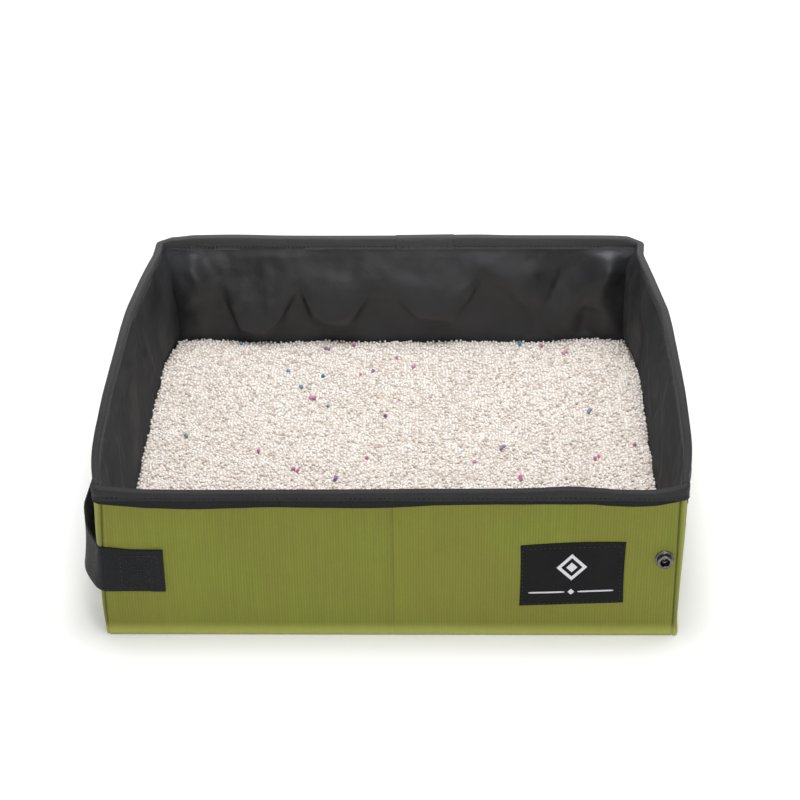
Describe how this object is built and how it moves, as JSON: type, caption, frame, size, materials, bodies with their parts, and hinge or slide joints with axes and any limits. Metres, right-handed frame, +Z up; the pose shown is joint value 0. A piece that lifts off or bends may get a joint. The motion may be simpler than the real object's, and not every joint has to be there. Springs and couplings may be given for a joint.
{
  "type": "foldable litter box",
  "caption": "Foldable fabric litter box: a board-stiffened tray with bound rim, side handle strap and ring snap, whose walls hinge inward onto the base.",
  "frame": {"origin": "on the floor, at the middle of the flat underside of the base", "axes": "+X to the right along the front, the longest side; +Y to the back; +Z up; the front wall with the label and snap faces -Y, the handle is at -X"},
  "size_m": [0.4665, 0.4186, 0.135],
  "materials": {
    "oxford_green": "ribbed coated oxford cloth, matt olive green",
    "lining_black": "coated waterproof cloth, black, satin",
    "binding_black": "woven edge tape, black, matt",
    "webbing_black": "heavy woven webbing, black",
    "label_black": "woven label, black",
    "board": "plain stiffener sheet, pale grey",
    "litter": "loose pale granules with a few coloured ones, matt",
    "gunmetal": "dark plated metal, polished"
  },
  "bodies": {
    "base": {"base_cover": "oxford_green", "base_board_left": "board", "base_board_right": "board", "base_liner": "lining_black", "litter_fill": "litter", "handle_strap": "webbing_black"},
    "front_wall": {"front_cover": "oxford_green", "front_board_left": "board", "front_board_right": "board", "front_liner": "lining_black", "front_binding": "binding_black", "snap_ring": "gunmetal", "snap_cap": "gunmetal", "label": "label_black"},
    "back_wall": {"back_cover": "oxford_green", "back_board_left": "board", "back_board_right": "board", "back_liner": "lining_black", "back_binding": "binding_black"},
    "left_end": {"left_end_cover": "oxford_green", "left_end_board": "board", "left_end_liner": "lining_black", "left_end_binding": "binding_black"},
    "right_end": {"right_end_cover": "oxford_green", "right_end_board": "board", "right_end_liner": "lining_black", "right_end_binding": "binding_black"}
  },
  "joints": [
    {"name": "front_fold", "type": "hinge", "parent": "base", "child": "front_wall", "pos_m": [0, -0.201, 0.0087], "axis": [-1, 0, 0], "range_deg": [0, 90], "deforming": ["litter_fill", "handle_strap", "front_liner", "back_liner", "left_end_cover", "left_end_liner", "left_end_binding", "right_end_cover", "right_end_liner", "right_end_binding"]},
    {"name": "back_fold", "type": "hinge", "parent": "base", "child": "back_wall", "pos_m": [0, 0.201, 0.0087], "axis": [1, 0, 0], "range_deg": [0, 90]},
    {"name": "left_end_fold", "type": "hinge", "parent": "base", "child": "left_end", "pos_m": [-0.216, 0, 0.0043], "axis": [0, 1, 0], "range_deg": [0, 94.5]},
    {"name": "right_end_fold", "type": "hinge", "parent": "base", "child": "right_end", "pos_m": [0.216, 0, 0.0043], "axis": [0, -1, 0], "range_deg": [0, 94.5]}
  ],
  "couplings": [
    {"joint": "back_fold", "follows": "front_fold", "ratio": 1},
    {"joint": "left_end_fold", "follows": "front_fold", "ratio": 1.05},
    {"joint": "right_end_fold", "follows": "front_fold", "ratio": 1.05}
  ]
}
